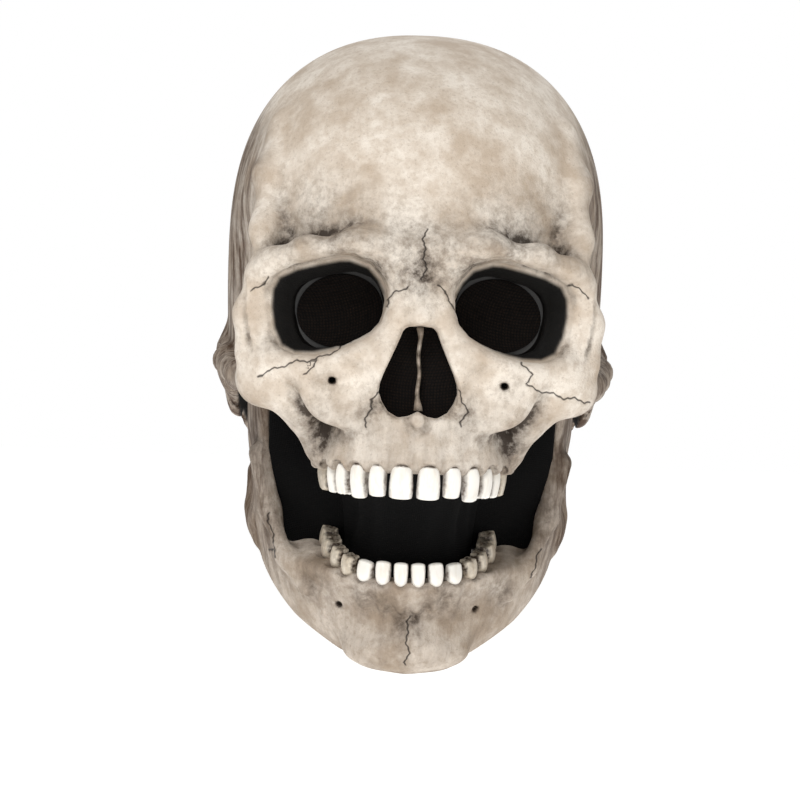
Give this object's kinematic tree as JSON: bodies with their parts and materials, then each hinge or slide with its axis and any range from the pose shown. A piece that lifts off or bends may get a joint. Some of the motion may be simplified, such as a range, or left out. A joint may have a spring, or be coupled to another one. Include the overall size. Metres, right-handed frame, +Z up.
{
  "type": "latex skull mask",
  "caption": "Over-the-head moulded latex skull mask with open eye sockets, separate teeth, a lower jaw hinged at the ears, foam pads and a closing strap at the nape.",
  "frame": {"origin": "midway between the two jaw pivots, inside the wearer's head", "axes": "+Z up, -Y the way the face looks, +X the mask's own left side"},
  "size_m": [0.1866, 0.2311, 0.2982],
  "materials": {
    "latex_bone": "matt painted",
    "latex_jaw": "matt painted",
    "tooth_resin": "gloss",
    "black_mesh": "matt",
    "black_plastic": "satin",
    "grey_foam": "matt",
    "steel": "satin",
    "nylon": "satin",
    "brass_eyelet": "satin",
    "loop_pile": "matt",
    "hook_pile": "matt",
    "webbing": "matt",
    "elastic": "matt",
    "black_stretch": "matt"
  },
  "bodies": {
    "cranium": {"cranium_face": "latex_bone", "cranium_back": "latex_bone", "upper_jaw": "latex_bone", "nasal_septum": "latex_bone", "eye_screen_left": "black_mesh", "eye_screen_right": "black_mesh", "nose_screen": "black_mesh", "eye_screen_ring_left": "black_plastic", "eye_screen_ring_right": "black_plastic", "forehead_pad": "grey_foam", "crown_pad": "grey_foam", "rear_pad": "grey_foam", "side_pad_left": "grey_foam", "side_pad_right": "grey_foam", "pivot_rivets": "steel", "pivot_caps": "steel", "upper_snaps": "steel", "spacer_washers": "nylon", "loop_patch": "loop_pile", "strap_tab": "webbing", "jaw_elastic_left": "elastic", "jaw_elastic_right": "elastic", "mouth_screen": "black_stretch", "cheek_screens": "black_stretch", "upper_central_incisors": "tooth_resin", "upper_lateral_incisors": "tooth_resin", "upper_canines": "tooth_resin", "upper_first_premolars": "tooth_resin", "upper_second_premolars": "tooth_resin", "upper_first_molars": "tooth_resin", "upper_second_molars": "tooth_resin"},
    "mandible": {"mandible_shell": "latex_jaw", "lower_central_incisors": "tooth_resin", "lower_lateral_incisors": "tooth_resin", "lower_canines": "tooth_resin", "lower_first_premolars": "tooth_resin", "lower_second_premolars": "tooth_resin", "lower_first_molars": "tooth_resin", "lower_second_molars": "tooth_resin", "jaw_eyelets": "brass_eyelet", "chin_cup": "grey_foam", "chin_strap": "webbing", "chin_strap_studs": "steel", "lower_snaps": "steel"},
    "nape_strap_end": {"nape_strap": "webbing", "hook_patch": "hook_pile"}
  },
  "joints": [
    {"name": "jaw_hinge", "type": "hinge", "parent": "cranium", "child": "mandible", "pos_m": [0, 0, 0], "axis": [1, 0, 0], "range_deg": [-19, 6], "stiffness_Nm_per_rad": 0.15, "springref_deg": -18.91, "deforming": ["mouth_screen", "cheek_screens", "jaw_elastic_left", "jaw_elastic_right"]},
    {"name": "nape_strap_hinge", "type": "hinge", "parent": "cranium", "child": "nape_strap_end", "pos_m": [-0.014, 0.109, -0.02], "axis": [0, 0.4019, 0.9157], "range_deg": [0, 95]}
  ]
}
